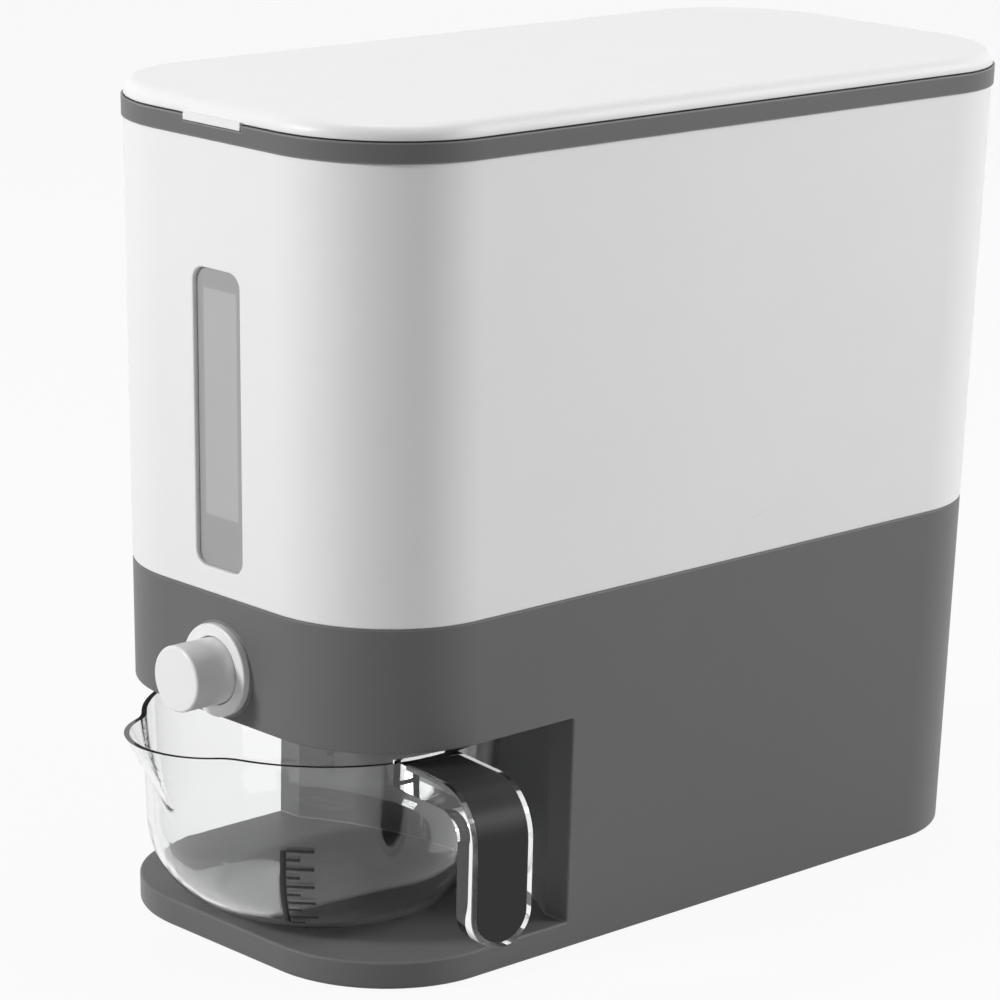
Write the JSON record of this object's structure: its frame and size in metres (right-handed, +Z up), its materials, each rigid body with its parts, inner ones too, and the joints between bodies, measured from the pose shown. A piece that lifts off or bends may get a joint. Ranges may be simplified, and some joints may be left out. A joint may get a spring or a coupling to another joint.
{
  "type": "rice storage bin",
  "caption": "Tall rounded bin for dry rice with a hinged lid, a level window, a push button that opens a sliding gate, and a clear measuring cup in an open bay below it.",
  "frame": {"origin": "centre of the flat cover on the underside, which the bin stands on, in the bin's middle plane", "axes": "+Z up, -Y towards the front with the button and window, +X to the right for a viewer who faces the front, where the cup's handle points"},
  "size_m": [0.2198, 0.4276, 0.348],
  "materials": {
    "white_shell": "satin white moulding",
    "grey_shell": "fine satin dark grey moulding",
    "dark_cover": "plain moulding",
    "inner_plastic": "plain moulding",
    "clear_cup": "clear polished plastic",
    "window": "smoked translucent plastic",
    "seal": "soft silicone",
    "steel": "bright steel"
  },
  "bodies": {
    "bin": {"base_housing": "grey_shell", "bottom_plate": "dark_cover", "bottom_screws": "steel", "hopper_bin": "white_shell", "window_pane": "window", "window_gasket": "seal", "rim_collar": "grey_shell", "hinge_pin": "steel", "button_ring": "white_shell", "gate_guide": "inner_plastic", "guide_screws": "steel", "outlet_chute": "inner_plastic", "return_spring": "steel"},
    "button": {"button_cap": "white_shell", "push_rod": "inner_plastic", "rod_clip": "steel", "gate_shutter": "inner_plastic"},
    "lid": {"lid": "white_shell", "lid_gasket": "seal"},
    "cup": {"measuring_cup": "clear_cup", "handle_inlay": "grey_shell"}
  },
  "joints": [
    {"name": "button_press", "type": "slide", "parent": "bin", "child": "button", "axis": [0, 1, 0], "range_m": [0, 0.012], "stiffness_N_per_m": 300, "springref_m": -0.004, "deforming": ["return_spring"]},
    {"name": "lid_hinge", "type": "hinge", "parent": "bin", "child": "lid", "pos_m": [0, 0.2005, 0.341], "axis": [-1, 0, 0], "range_deg": [0, 100]},
    {"name": "cup_slide", "type": "slide", "parent": "bin", "child": "cup", "axis": [0, -1, 0], "range_m": [0, 0.18]}
  ]
}
